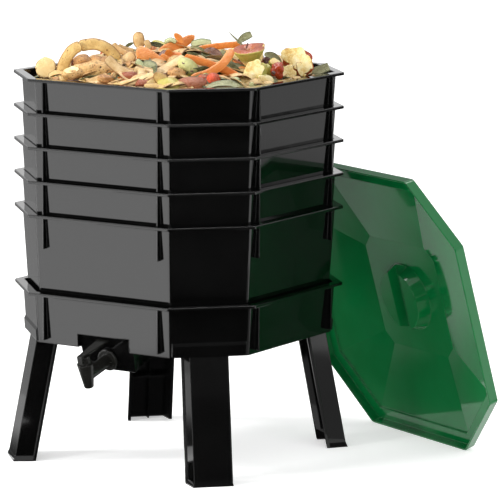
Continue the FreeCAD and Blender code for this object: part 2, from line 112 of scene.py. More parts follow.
class Finish:
    """One material, with a Principled shader whose sockets are given by name."""

    def __init__(self, name, **constants):
        self.material = bpy.data.materials.new(name)
        self.material.use_nodes = True
        self.tree = self.material.node_tree
        self.shader = self.tree.nodes["Principled BSDF"]
        self.set(**constants)
        self.place = self.node("ShaderNodeNewGeometry", {}, {}, "Position")

    def set(self, **sockets):
        for socket, value in sockets.items():
            self.put(self.shader.inputs[socket.replace("_", " ")], value)
        return self.material

    def put(self, target, value):
        if isinstance(value, Socket):
            self.tree.links.new(value.link, target)
        elif target.type == "RGBA":
            target.default_value = (*value, 1.0)
        else:
            target.default_value = value

    def node(self, kind, settings, inputs, output=0):
        made = self.tree.nodes.new(kind)
        for name, value in settings.items():
            setattr(made, name, value)
        for key, value in inputs.items():
            self.put(made.inputs[key], value)
        return Socket(self, made.outputs[output])

    def noise(self, scale, detail, rough=0.5, where=None):
        inputs = {"Vector": where or self.place, "Scale": scale, "Detail": detail, "Roughness": rough}
        return self.node("ShaderNodeTexNoise", {}, inputs)

    def cells(self, scale, feature="F1"):
        return self.node("ShaderNodeTexVoronoi", {"feature": feature}, {"Vector": self.place, "Scale": scale})

    def stretched(self, *factors):
        return self.node("ShaderNodeVectorMath", {"operation": "MULTIPLY"}, {0: self.place, 1: factors})

    def kept(self, name):
        """What Pile keeps at each vertex under that name."""
        return self.node("ShaderNodeAttribute", {"attribute_name": name}, {}, 2)

    def ramp(self, value, *stops):
        made = self.node("ShaderNodeValToRGB", {}, {0: value})
        elements = made.link.node.color_ramp.elements
        while len(elements) < len(stops):
            elements.new(0.5)
        for element, (at, colour) in zip(elements, stops):
            element.position = at
            element.color = (*colour, 1.0)
        return made

    def blend(self, amount, low, high):
        return self.node("ShaderNodeMix", {"data_type": "RGBA"}, {0: amount, 6: low, 7: high}, 2)

    def bump(self, height, distance, strength, **under):
        inputs = {"Strength": strength, "Distance": distance, "Height": height, **under}
        return self.node("ShaderNodeBump", {}, inputs)


EDGE_ROUNDING = 0.0022
PLASTICS = {
    # slot: name, colour, dusty colour, roughness, strength of the sink waves
    "black_plastic": ("black_gloss_plastic", (0.0016, 0.0016, 0.0016), (0.0032, 0.0032, 0.0031), 0.07, 1.0),
    "tap_plastic": ("tap_satin_plastic", (0.006, 0.006, 0.005), (0.013, 0.013, 0.011), 0.24, 0.5),
    "green_plastic": ("green_gloss_plastic", (0.002, 0.122, 0.029), (0.005, 0.146, 0.04), 0.08, 1.0),
    "washer_rubber": ("washer_rubber", (0.01, 0.01, 0.01), (0.02, 0.02, 0.02), 0.5, 0.3),
}


def moulded_plastic(name, colour, dusty, gloss, wave):
    """Injection-moulded plastic: faint sink waves, hairline scratches, a little dust and rounded edges."""
    finish = Finish(name, Roughness=gloss, IOR=1.5, Specular_IOR_Level=0.5)
    waves = finish.noise(9.0, 2.0)
    grain = finish.noise(900.0, 2.0)
    hair = finish.noise(60.0, 2.0, where=finish.stretched(1.0, 1.0, 14.0))
    cloud = finish.noise(14.0, 5.0, 0.6)
    scuffs = hair.rises(0.62, 0.78) * cloud.rises(0.45, 0.7)
    edges = finish.node("ShaderNodeBevel", {"samples": 4}, {"Radius": EDGE_ROUNDING})
    return finish.set(
        Base_Color=finish.blend(cloud.rises(0.35, 0.75) * 0.5 + scuffs * 0.12, colour, dusty),
        Roughness=cloud * 0.05 + scuffs * 0.1 + (gloss - 0.025),
        Normal=finish.bump(waves * (3.0 * wave) + grain * 0.02, 0.0004, 0.25, Normal=edges),
    )


def finish_cad_nodes():
    """Gives each rigid node of the CAD the finish of its slot. The loose matter is replaced further down."""
    finishes = {slot: moulded_plastic(*plastic) for slot, plastic in PLASTICS.items()}
    for part in frame["record"]["subparts"]:
        if part["material_slot"] in finishes:
            materials = frame["nodes"][part["node"]].data.materials
            materials.clear()
            materials.append(finishes[part["material_slot"]])


def floor_finish():
    """Matt white that glows a little, so that the floor is as white as the background."""
    finish = Finish("floor_paint", Roughness=0.9, Specular_IOR_Level=0.0, Emission_Color=(1.0, 1.0, 1.0),
                    Emission_Strength=0.45)
    tone = finish.noise(3.0, 4.0)
    return finish.set(Base_Color=finish.blend(tone * 0.1, (0.88, 0.88, 0.88), (0.8536, 0.8536, 0.8536)))


def sheet(name, corners, material):
    mesh = bpy.data.meshes.new(name)
    mesh.from_pydata([Vector(corner) for corner in corners], [], [tuple(range(len(corners)))])
    mesh.materials.append(material)
    obj = bpy.data.objects.new(name, mesh)
    bpy.context.scene.collection.objects.link(obj)
    return obj


def card(name, corners, finish):
    """A sheet that only reflections see."""
    obj = sheet(name, corners, finish.material)
    obj.visible_camera = False
    obj.visible_diffuse = False
    obj.visible_shadow = False


FLOOR_HALF = 40
LEVEL_CARDS = {
    # name: corners, glow near the stack and far from it, the distances of both, height
    "pale_card_front_left": (((-0.3, -0.62), (-3.6, -3.2), (-2.2, -6.5), (0.6, -2.6), (0.06, -0.72)),
                             (0.5, 2.85), (0.7, 0.95), 0.002),
    "dark_card_front": (((-0.3, -0.25), (-0.3, -0.5), (0.1, -0.6), (0.2, -0.9), (0.36, -2.8), (6.0, -5.0),
                         (5.0, -0.45), (0.25, -0.1)), (0.0, 0.65), (3.2, 5.2), 0.002),
    "grey_card_right": (((0.3, -0.2), (1.5, -0.5), (1.5, 0.4), (0.3, 0.2)), (0.4, 0.4), (1.0, 2.0), 0.003),
    "grey_card_left": (((-0.9, -0.4), (-6.0, 1.6), (-3.0, 5.0), (-0.9, 0.9)),
                       (0.36, 0.36), (1.0, 1.6), 0.002),
    "dim_card_under": (((-0.9, -0.4), (-0.25, -0.22), (0.2, 0.15), (0.12, 0.7), (-0.9, 0.9)),
                       (0.04, 0.52), (0.28, 0.56), 0.002),
    "dark_card_behind": (((0.3, 0.42), (0.8, 0.3), (4.2, 5.0), (0.8, 6.0), (0.1, 0.6)),
                         (0.02, 0.64), (1.5, 3.2), 0.002),
}
UPRIGHT_CARDS = (
    # name, bearing in degrees, distance, half width, bottom, top, glow
    ("dark_flag_right", -29.0, 2.5, 1.1, 0.42, 3.0, 0.1),
    ("dark_flag_low", -33.0, 1.3, 0.4, 0.0, 0.32, 0.04),
    ("dark_flag_front_left", -128.0, 3.8, 1.6, 0.35, 1.6, 0.02),
    ("softbox_front_left", -134.0, 3.8, 1.6, 1.65, 5.0, 3.2),
    ("dark_flag_right_back", 56.0, 4.3, 1.5, 0.0, 0.7, 0.02),
    ("dark_flag_right_back", 56.0, 4.3, 1.5, 1.4, 1.9, 0.02),
    ("grey_flag_behind", 122.0, 4.2, 3.0, 0.0, 0.7, 0.32),
    ("grey_flag_behind", 122.0, 4.2, 3.0, 1.4, 2.4, 0.32),
)
OVERHEAD_HALF = 1.1
OVERHEAD_GLOW = 8.0
OVERHEAD_HEIGHT = 3.0
LIGHTS = {
    # name: place, what it is aimed at, diameter, watts
    "key": ((-2.9, -2.2, 2.7), (0.0, 0.0, 0.5), 0.8, 110.0),
    "front": ((-1.5, -3.6, 1.2), (0.0, 0.0, 0.6), 1.0, 85.0),
    "fill": ((2.8, -1.2, 2.6), (0.0, 0.0, 0.4), 1.8, 8.0),
}


def level_card(name, corners, glows, distances, height):
    """A card that lies level and is shaded by its distance from the stack's axis."""
    finish = Finish(name, Roughness=1.0, Emission_Strength=1.0, Base_Color=(0.0, 0.0, 0.0),
                    Specular_IOR_Level=0.0)
    flat = finish.node("ShaderNodeVectorMath", {"operation": "SUBTRACT"}, {0: finish.place, 1: tuple(axis)})
    distance = finish.node("ShaderNodeVectorMath", {"operation": "LENGTH"}, {0: flat}, 1)
    near, far = [(glow, glow, glow) for glow in glows]
    finish.set(Emission_Color=finish.blend(distance.rises(*distances), near, far))
    card(name, [(axis.x + x, axis.y + y, height) for x, y in corners], finish)


def upright_card(name, bearing, distance, half_width, bottom, top, glow):
    """A standing card, square to its bearing from the stack."""
    turn = math.radians(bearing)
    out = Vector((math.cos(turn), math.sin(turn), 0.0))
    side = Vector((-math.sin(turn), math.cos(turn), 0.0))
    finish = Finish(name, Roughness=1.0, Emission_Strength=glow, Base_Color=(0.0, 0.0, 0.0),
                    Specular_IOR_Level=0.0, Emission_Color=(1.0, 1.0, 1.0))
    corners = ((-half_width, bottom), (half_width, bottom), (half_width, top), (-half_width, top))
    card(name, [axis + out * distance + side * x + Vector((0.0, 0.0, z)) for x, z in corners], finish)


def soft_light(name, place, target, diameter, watts):
    """A round lamp that reflections don't see."""
    data = bpy.data.lights.new(name, "AREA")
    data.shape = "DISK"
    data.size = diameter
    data.energy = watts
    obj = bpy.data.objects.new(name, data)
    obj.location = axis + Vector(place)
    aim = Vector(target) - Vector(place)
    obj.rotation_euler = aim.to_track_quat("-Z", "Y").to_euler()
    obj.visible_glossy = False
    bpy.context.scene.collection.objects.link(obj)


def set_stage():
    """White floor and background, the cards that shape the reflections, and the lights."""
    square = ((-1, -1), (1, -1), (1, 1), (-1, 1))
    sheet("floor", [(x * FLOOR_HALF, y * FLOOR_HALF, 0.0) for x, y in square], floor_finish())
    for name, facts in LEVEL_CARDS.items():
        level_card(name, *facts)
    for facts in UPRIGHT_CARDS:
        upright_card(*facts)
    level_card("softbox_overhead", [(x * OVERHEAD_HALF, y * OVERHEAD_HALF) for x, y in square],
               (OVERHEAD_GLOW, OVERHEAD_GLOW), (1.0, 2.0), OVERHEAD_HEIGHT)
    for name, facts in LIGHTS.items():
        soft_light(name, *facts)
    world = bpy.data.worlds.new("studio")
    world.use_nodes = True
    background = world.node_tree.nodes["Background"].inputs
    background["Color"].default_value = (1.0, 1.0, 1.0, 1.0)
    background["Strength"].default_value = 1.0
    bpy.context.scene.world = world
    bpy.context.scene.view_settings.view_transform = "Standard"


# The camera's directions. Beyond is level and leads away from it, and toward and sloped are facings that
# it sees well.
forward = Vector((-math.sin(VIEW_TURN) * math.cos(VIEW_DROP), math.cos(VIEW_TURN) * math.cos(VIEW_DROP),
                  -math.sin(VIEW_DROP)))
beyond = Vector((-math.sin(VIEW_TURN), math.cos(VIEW_TURN), 0.0))
level = Vector((math.cos(VIEW_TURN), math.sin(VIEW_TURN), 0.0))
upward = level.cross(forward)
right = level * math.cos(VIEW_ROLL) + upward * math.sin(VIEW_ROLL)
above = upward * math.cos(VIEW_ROLL) - level * math.sin(VIEW_ROLL)
toward = -forward
sloped = (toward * 0.8 + Vector((0, 0, 0.6))).normalized()
eye = axis + CAMERA_PLACE


def place_camera():
    data = bpy.data.cameras.new("camera")
    data.sensor_width = SENSOR_WIDTH
    data.lens = FOCAL_LENGTH
    data.clip_end = 60.0
    camera = bpy.data.objects.new("camera", data)
    camera.matrix_world = Matrix.Translation(eye) @ Matrix((right, above, -forward)).transposed().to_4x4()
    bpy.context.scene.collection.objects.link(camera)
    bpy.context.scene.camera = camera


def outness(x, y):
    """0 on the stack's axis, 1 at the tray's wall."""
    return max(abs(x), abs(y), (abs(x) + abs(y)) / math.sqrt(2.0) * CORNER_SHARE) / HEAP_HALF


def heap_height(x, y):
    return HEAP_EDGE + (HEAP_TOP - HEAP_EDGE) * max(0.0, 1.0 - outness(x, y) ** 2) ** HEAP_FALL


def heap_normal(x, y):
    step = 0.004
    dx = heap_height(x + step, y) - heap_height(x - step, y)
    dy = heap_height(x, y + step) - heap_height(x, y - step)
    return Vector((-dx, -dy, 2 * step)).normalized()


def seen_at(px, py, depth=None, over=0.0):
    """Where the camera's line through a place of the picture meets the heap, or the upright plane at a depth.
    A depth is counted from the stack's axis, away from the camera. Over raises the heap."""
    scale = FOCAL_LENGTH / SENSOR_WIDTH * PICTURE_SIZE
    middle = PICTURE_SIZE / 2
    ray = (forward + right * ((px - middle) / scale) - above * ((py - middle) / scale)).normalized()
    if depth is None:
        start, step, steps = 5.6, 0.002, 700
        for k in range(steps):
            point = eye + ray * (start + k * step)
            x, y = point.x - axis.x, point.y - axis.y
            if outness(x, y) < 1.0 and point.z <= heap_height(x, y) + over:
                return point
        depth = 0.0
    return eye + ray * ((depth - (eye - axis).dot(beyond)) / ray.dot(beyond))


def inside_tray(point):
    """Pulls a point in towards the stack's axis until it is clear of the tray's wall."""
    x, y = point.x - axis.x, point.y - axis.y
    limit = REACH_IN_TRAY if point.z < rim_high.z + RIM_CLEARANCE else REACH_OVER_RIM
    share = min(1.0, limit / max(outness(x, y), 1e-6))
    return Vector((axis.x + x * share, axis.y + y * share, point.z))


class Pile:
    """Scraps of one kind in one mesh. Each vertex keeps its piece's tone, how much skin it shows and how near
    an edge it lies."""

    def __init__(self, name, finish, slot):
        self.name = name
        self.finish = finish
        self.slot = slot
        self.points = []
        self.faces = []
        self.rounded = []
        self.kept = {"tone": [], "skin": [], "edge": []}

    def add(self, points, faces, skins, tone, edges=None, rounded=True):
        start = len(self.points)
        self.points += points
        self.faces += [tuple(start + i for i in face) for face in faces]
        self.rounded += [rounded] * len(faces)
        self.kept["tone"] += [tone] * len(points)
        self.kept["skin"] += skins
        self.kept["edge"] += edges or [0.0] * len(points)

    def build(self, *replaced):
        mesh = bpy.data.meshes.new(self.name)
        mesh.from_pydata(self.points, [], self.faces)
        mesh.materials.append(self.finish)
        for name, values in self.kept.items():
            mesh.attributes.new(name, "FLOAT", "POINT").data.foreach_set("value", values)
        mesh.polygons.foreach_set("use_smooth", self.rounded)
        mesh.update()
        obj = bpy.data.objects.new(self.name, mesh)
        bpy.context.scene.collection.objects.link(obj)
        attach(obj, "tray_1")
        if replaced:
            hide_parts(*replaced)


def loops(rings, count, closed_ends=True):
    """Faces between successive rings of count points each, with a cap at both ends."""
    faces = []
    for i in range(rings - 1):
        for k in range(count):
            k2 = (k + 1) % count
            faces.append((i * count + k, i * count + k2, (i + 1) * count + k2, (i + 1) * count + k))
    if closed_ends:
        faces.append(tuple(range(count - 1, -1, -1)))
        faces.append(tuple((rings - 1) * count + k for k in range(count)))
    return faces


def smooth_path(knots, steps):
    """Points along a Catmull-Rom curve through the knots."""
    ends = [knots[0] * 2 - knots[1]] + list(knots) + [knots[-1] * 2 - knots[-2]]
    path = []
    for i in range(steps + 1):
        at = i / steps * (len(knots) - 1)
        k = min(int(at), len(knots) - 2)
        t = at - k
        a, b, c, d = ends[k:k + 4]
        square, cube = a * 2 - b * 5 + c * 4 - d, b * 3 - a - c * 3 + d
        path.append((b * 2 + (c - a) * t + square * t ** 2 + cube * t ** 3) / 2)
    return path


def slope_at(path, i):
    return (path[min(i + 1, len(path) - 1)] - path[max(i - 1, 0)]).normalized()


def there_and_back(across):
    """Once round a thin strip's section: the share of its half width, and the side, 1 upper and -1 under."""
    return [((k / across * 2 - 1) * side, side) for side in (1, -1) for k in range(across + 1)]


def ribbon(pile, knots, width, facing, tone, cup=0.05, thick=0.0017, round_end=0.35, twist=0.0, steps=24,
           ragged=0.07, lean=(0.0, 0.0)):
    """A peeled strip along a curve: even width, rounded ends, cupped across, thinner at its edges."""
    path = smooth_path(knots, steps)
    length = sum((b - a).length for a, b in zip(path, path[1:]))
    section = there_and_back(6)
    points, skins, edges = [], [], []
    gone = 0.0
    for i, centre in enumerate(path):
        if i:
            gone += (centre - path[i - 1]).length
        t = gone / length
        slope = slope_at(path, i)
        normal = facing.normalized() + Vector((0, 0, 1)) * (lean[0] + (lean[1] - lean[0]) * t)
        normal = (normal - slope * normal.dot(slope)).normalized()
        side = slope.cross(normal)
        angle = twist * (t - 0.5)
        side, normal = (side * math.cos(angle) + normal * math.sin(angle),
                        normal * math.cos(angle) - side * math.sin(angle))
        end = min(1.0, min(gone, length - gone) / (width * round_end))
        half = width / 2 * (math.sqrt(max(0.0, 1 - (1 - end) ** 2)) * 0.93 + 0.07)
        for u, upper in section:
            spot = Vector((gone * 90.0, u * 0.7 * abs(u), tone * 40.0 + width * 900.0))
            nick = 1.0 + ragged * noise.noise(spot)
            lift = cup * width * (0.4 - u * u) * (half * 2 / width)
            body = thick / 2 * upper * (1.0 if abs(u) < 0.99 else 0.3)
            points.append(centre + side * (u * half * nick) + normal * (lift + body))
            skins.append(1.0 if upper > 0 else 0.0)
            edges.append(max(abs(u), 1.0 - end))
    pile.add(points, loops(steps + 1, len(section)), skins, tone, edges, False)


def leaf(pile, knots, width, facing, tone, fold, thick=0.0009, steps=18, blunt=0.0):
    """A leaf along a curve from stalk to tip, folded along its middle vein. Blunt at 1 squares its tip."""
    path = smooth_path(knots, steps)
    facing = facing.normalized()
    section = there_and_back(8)
    points, edges = [], []
    for i, centre in enumerate(path):
        t = i / steps
        slope = slope_at(path, i)
        normal = (facing - slope * facing.dot(slope)).normalized()
        side = slope.cross(normal)
        swell = math.sin(math.pi * min(1.0, t * (1.0 - 0.5 * blunt) + 0.03)) ** 0.7
        half = width / 2 * (swell * 0.97 + 0.03)
        for u, upper in section:
            ripple = 0.035 * width * math.sin(t * 21.0 + u * 3.0 + tone * 9.0) * abs(u)
            lift = fold * abs(u) * half + ripple + thick * upper / 2
            points.append(centre + side * (u * half) + normal * lift)
            edges.append(abs(u))
    pile.add(points, loops(steps + 1, len(section)), [0.0] * len(points), tone, edges)


def lump(pile, centre, sizes, heading, lean, rough, seed, tone, cuts=(), rings=20, turns=30, skin=1.0):
    """A tuber or fruit: a lumpy ball with flat cut sides, each given by facing and share of the radius."""
    spin = Matrix.Rotation(VIEW_TURN + heading, 4, "Z") @ Matrix.Rotation(lean, 4, "Y")
    shift = Vector((seed * 3.7, seed * 1.9, seed * 5.3))
    cuts = [(Vector(facing).normalized(), share * min(sizes)) for facing, share in cuts]
    points, skins = [], []
    for i in range(rings + 1):
        polar = math.pi * i / rings
        for j in range(turns):
            around = 2 * math.pi * j / turns
            ball = Vector((math.sin(polar) * math.cos(around), math.sin(polar) * math.sin(around),
                           math.cos(polar)))
            coarse, fine = noise.noise(ball * 1.4 + shift), noise.noise(ball * 4.5 + shift)
            point = ball * Vector(sizes) * (1.0 + rough * coarse * 2.0 + rough * 0.35 * fine)
            shown = skin
            for facing, reach in cuts:
                over = point.dot(facing) - reach
                if over > 0:
                    point -= facing * (over * 0.96)
                    shown = 0.0
            points.append(centre + spin @ point)
            skins.append(shown)
    faces = [tuple(reversed(face)) for face in loops(rings + 1, turns, False)]
    pile.add(points, faces, skins, tone)


# Eaten apples turned about their stalk, as (height, radius, skin): 0 is flesh, 1 green skin and 2 red skin.
BELL = ((-0.8, 0.02, 0), (-0.78, 0.28, 0), (-0.5, 0.42, 0), (-0.15, 0.6, 0.6), (0.25, 0.84, 1.0),
        (0.48, 1.0, 1.0), (0.56, 0.92, 2), (0.62, 0.6, 2), (0.5, 0.3, 2), (0.3, 0.12, 1.4), (0.26, 0.02, 1.4))
WAIST = ((-1.0, 0.02, 2), (-0.96, 0.4, 2), (-0.8, 0.72, 1.2), (-0.55, 0.66, 0), (-0.15, 0.42, 0),
         (0.2, 0.4, 0), (0.55, 0.62, 0), (0.8, 0.72, 0.7), (0.95, 0.4, 1), (0.98, 0.02, 1))


def apple_core(pile, centre, profile, size, heading, lean, pitch, seed, tone, lobes, turns=44, steps=40):
    """An eaten apple turned from its profile, gnawed into lobes where it has no skin."""
    spin = Matrix.Rotation(VIEW_TURN + heading, 4, "Z") @ Matrix.Rotation(pitch, 4, "X")
    spin = spin @ Matrix.Rotation(lean, 4, "Y")
    shift = Vector((seed * 7.1, seed * 2.3, seed * 4.9))
    points, skins = [], []
    for high, radius, skin in smooth_path([Vector(knot) for knot in profile], steps):
        bare = 1.0 - min(1.0, max(0.0, skin))
        for j in range(turns):
            around = 2 * math.pi * j / turns
            way = Vector((math.cos(around), math.sin(around), high))
            gnaw = noise.noise(way * 1.3 + shift) * lobes
            gnaw += noise.noise(way * 3.4 + shift) * lobes * 0.4 * bare
            tooth = abs(noise.noise(Vector((way.x * 5, way.y * 5, high * 2.5)) + shift)) * 0.16 * bare
            reach = max(radius, 0.0) * (1.0 + gnaw - tooth)
            points.append(centre + spin @ (Vector((way.x * reach, way.y * reach, high + 0.12 * gnaw)) * size))
            skins.append(skin)
    pile.add(points, loops(steps + 1, turns), skins, tone)


def potato_finish():
    """Tan skin with speckles and eyes outside, pale moist flesh where it is cut."""
    finish = Finish("potato", Specular_IOR_Level=0.35)
    tone, skin = finish.kept("tone"), finish.kept("skin")
    patches = finish.noise(70.0, 5.0, 0.7)
    specks = finish.cells(240.0)
    eyes = finish.cells(95.0)
    russet = finish.ramp(patches + tone * 0.5 - 0.22, (0.2, (0.2, 0.08, 0.027)), (0.42, (0.43, 0.21, 0.075)),
                         (0.6, (0.56, 0.31, 0.11)), (0.85, (0.72, 0.48, 0.2)))
    russet = finish.blend((1.0 - specks.rises(0.14, 0.42)) * 0.75, russet, (0.12, 0.05, 0.017))
    russet = finish.blend((1.0 - eyes.rises(0.06, 0.2)) * 0.9, russet, (0.05, 0.02, 0.008))
    flesh = finish.ramp(patches + tone * 0.2 - 0.1, (0.25, (0.6, 0.36, 0.12)), (0.42, (0.82, 0.57, 0.24)),
                        (0.65, (0.86, 0.66, 0.32)), (0.8, (0.9, 0.74, 0.43)))
    height = patches * 0.8 + (eyes.rises(0.02, 0.25) + specks * 0.25) * skin
    return finish.set(Base_Color=finish.blend(skin.rises(0.3, 0.7), flesh, russet),
                      Roughness=skin * 0.2 + 0.42, Normal=finish.bump(height, 0.0025, 0.9))


def peel_finish():
    """Cream inner side and thin tan skin of peeled strips, with brown spots and an edge that darkens to
    brown. Strips with a tone under one half have the skin on their under side, the others on their upper
    side."""
    finish = Finish("potato_peelings", Specular_IOR_Level=0.35)
    tone, skin, edge = finish.kept("tone"), finish.kept("skin"), finish.kept("edge")
    patches = finish.noise(80.0, 5.0, 0.7)
    spots = finish.cells(95.0)
    dots = finish.cells(260.0)
    inner = finish.ramp(patches * 0.8 + tone * 0.3, (0.25, (0.38, 0.2, 0.07)), (0.42, (0.62, 0.4, 0.17)),
                        (0.6, (0.77, 0.56, 0.29)), (0.8, (0.85, 0.68, 0.42)))
    outer = finish.ramp(patches * 0.9 + tone * 0.25, (0.25, (0.24, 0.12, 0.035)), (0.45, (0.5, 0.3, 0.09)),
                        (0.6, (0.58, 0.38, 0.13)), (0.8, (0.7, 0.5, 0.2)))
    outer = finish.blend((1.0 - spots.rises(0.08, 0.2)) * 0.9, outer, (0.1, 0.035, 0.01))
    outer = finish.blend((1.0 - dots.rises(0.1, 0.3)) * 0.4, outer, (0.2, 0.09, 0.025))
    side = (tone.rises(0.49, 0.51) - skin).maths("ABSOLUTE")
    colour = finish.blend(side.rises(0.3, 0.7), outer, inner)
    colour = finish.blend(edge.rises(0.68, 1.0) * 0.85, colour, (0.24, 0.11, 0.03))
    return finish.set(Base_Color=colour, Roughness=patches * 0.25 + 0.4,
                      Normal=finish.bump(patches + spots * 0.3, 0.002, 0.8))


def carrot_finish():
    """Wet orange ribbons with fine lengthwise fibre and a paler edge."""
    finish = Finish("carrot_ribbons", Specular_IOR_Level=0.4)
    tone, edge = finish.kept("tone"), finish.kept("edge")
    patches = finish.noise(60.0, 5.0, 0.65)
    fibre = finish.noise(420.0, 2.0, where=finish.stretched(1.0, 0.3, 1.0))
    colour = finish.ramp(patches * 0.7 + tone * 0.5, (0.2, (0.3, 0.045, 0.006)), (0.42, (0.56, 0.12, 0.016)),
                         (0.62, (0.66, 0.19, 0.02)), (0.88, (0.74, 0.27, 0.07)))
    colour = finish.blend(fibre.rises(0.55, 0.8) * 0.3, colour, (0.84, 0.37, 0.09))
    colour = finish.blend(edge.rises(0.75, 1.0) * 0.4, colour, (0.84, 0.4, 0.12))
    return finish.set(Base_Color=colour, Roughness=patches * 0.25 + 0.3,
                      Normal=finish.bump(fibre + patches, 0.0015, 0.7))


def apple_finish():
    """Browning flesh with bruised hollows, and streaked green and red skin."""
    finish = Finish("apple_cores", Specular_IOR_Level=0.35)
    tone, skin = finish.kept("tone"), finish.kept("skin")
    patches = finish.noise(70.0, 5.0, 0.7)
    pits = finish.cells(190.0)
    streak = finish.noise(80.0, 5.0, 0.7)
    flesh = finish.ramp(patches, (0.28, (0.5, 0.24, 0.06)), (0.38, (0.76, 0.5, 0.15)),
                        (0.5, (0.92, 0.74, 0.34)), (0.65, (0.96, 0.86, 0.55)))
    peel = finish.ramp(streak * 0.5 + (tone - 1.0) * 0.2 + skin * 0.3, (0.38, (0.36, 0.33, 0.06)),
                       (0.52, (0.5, 0.42, 0.1)), (0.66, (0.4, 0.14, 0.05)), (0.85, (0.34, 0.04, 0.01)))
    height = patches * 1.2 + pits.rises(0.1, 0.5) * 0.25 * (1.0 - skin)
    return finish.set(Base_Color=finish.blend(skin.rises(0.35, 0.8), flesh, peel), Roughness=0.5 - skin * 0.2,
                      Normal=finish.bump(height, 0.0018, 0.8))


def greens_finish(name, dark, mid, pale, edging, edge_share):
    """Leaf, rind or smooth skin: mottled, with fine veins and its own colour at the edge."""
    finish = Finish(name, Specular_IOR_Level=0.3)
    tone, edge = finish.kept("tone"), finish.kept("edge")
    patches = finish.noise(80.0, 5.0, 0.65)
    veins = finish.cells(190.0, "DISTANCE_TO_EDGE")
    colour = finish.ramp(patches * 0.8 + tone * 0.5, (0.28, dark), (0.55, mid), (0.85, pale))
    colour = finish.blend((1.0 - veins.rises(0.0, 0.09)) * 0.25, colour, pale)
    colour = finish.blend(edge.rises(0.6, 0.95) * edge_share, colour, edging)
    return finish.set(Base_Color=colour, Roughness=patches * 0.25 + 0.36,
                      Normal=finish.bump(veins.rises(0.0, 0.15) * 0.5 + patches, 0.0015, 0.7))


def compost_and_gap_shade_finish():
    """Dark crumbly compost with a few pale flecks of shell and straw. Its near-black colour is real compost,
    and it is also painted shade where it shows in the gaps between the scraps.
    """
    finish = Finish("compost")
    crumbs = finish.cells(300.0)
    clods = finish.noise(70.0, 6.0, 0.7)
    # Near-black compost colour, which also serves as painted shade in the gaps between the scraps.
    colour = finish.ramp(clods, (0.3, (0.012, 0.007, 0.004)), (0.55, (0.045, 0.025, 0.012)),
                         (0.8, (0.11, 0.065, 0.03)))
    colour = finish.blend((1.0 - crumbs.rises(0.0, 0.3)) * 0.3, colour, (0.26, 0.18, 0.09))
    return finish.set(Base_Color=colour, Roughness=0.95 - clods * 0.1,
                      Normal=finish.bump(crumbs + clods * 2.0, 0.003, 0.9))


def mixed(name, finish_name, *colours):
    return Pile(name, greens_finish(finish_name, *colours), "mixed_scraps")


finish_cad_nodes()
set_stage()
place_camera()

potatoes = Pile("potato_pieces_full", potato_finish(), "potato")
peelings = Pile("potato_peelings", peel_finish(), "potato")
carrots = Pile("carrot_peelings", carrot_finish(), "carrot")
apples = Pile("apple_cores_full", apple_finish(), "apple")
# The colours of a mixed pile: dark, middle, pale, at the edge, and how far that one covers.
rinds = mixed("courgette_rinds", "courgette_rind", (0.32, 0.35, 0.1), (0.46, 0.5, 0.2), (0.56, 0.6, 0.34),
              (0.03, 0.07, 0.008), 0.95)
leaves = mixed("leek_and_herb_leaves", "grey_green_leaf", (0.028, 0.034, 0.01), (0.13, 0.14, 0.055),
               (0.34, 0.34, 0.19), (0.07, 0.075, 0.03), 0.7)
onions = mixed("onion_skins", "onion_skin", (0.06, 0.02, 0.02), (0.21, 0.105, 0.09), (0.36, 0.24, 0.2),
               (0.12, 0.05, 0.04), 0.7)
reds = mixed("tomato_and_red_potato", "red_skin", (0.72, 0.075, 0.02), (0.28, 0.065, 0.026),
             (0.34, 0.12, 0.06), (0.42, 0.11, 0.05), 0.0)
fruit = mixed("green_fruit", "green_fruit_skin", (0.26, 0.29, 0.07), (0.46, 0.47, 0.15), (0.58, 0.57, 0.25),
              (0.34, 0.36, 0.12), 0.0)
rng = random.Random(7)

FILL_LUMPS = (
    # kind, count, sizes, how deep they lie, tones, share of them that are cut, reach towards the wall
    (potatoes, 90, (0.012, 0.021), 0.008, (0.1, 0.9), 0.7, 0.93),
    (apples, 16, (0.011, 0.018), 0.006, (0.1, 1.0), 0.8, 0.85),
    (reds, 6, (0.012, 0.017), 0.008, (0.3, 1.0), 0.0, 0.85),
    (fruit, 6, (0.011, 0.016), 0.008, (0.2, 1.0), 0.2, 0.8),
)
FILL_STRIPS = (
    # kind, count, lengths, widths, lift, reach towards the wall, curl, whether they are leaves
    (peelings, 150, (0.045, 0.1), (0.014, 0.028), 0.004, 0.88, 0.5, False),
    (carrots, 44, (0.04, 0.09), (0.01, 0.018), 0.003, 0.8, 0.35, False),
    (rinds, 26, (0.03, 0.07), (0.012, 0.02), 0.003, 0.88, 0.35, False),
    (leaves, 46, (0.04, 0.1), (0.014, 0.028), 0.003, 0.9, 0.35, True),
    (onions, 34, (0.03, 0.065), (0.016, 0.03), 0.003, 0.92, 0.35, True),
)
# Cores behind those that the picture shows, as (x, y, size).
HIDDEN_CORES = ((0.02, 0.13, 0.027), (-0.11, 0.1, 0.026), (0.11, 0.05, 0.028), (-0.12, -0.03, 0.026),
                (-0.03, 0.19, 0.025))
HIDDEN_CORE_SINK = 0.005

# Places in the picture, in its pixels, from left to right along the two front walls.
FRONT_ROW = ((67, 78.5), (80, 80), (93, 81.5), (123, 85), (134, 86), (160, 88), (172, 88.5), (206, 89),
             (222, 89), (262, 86), (275, 84.5), (287, 82))

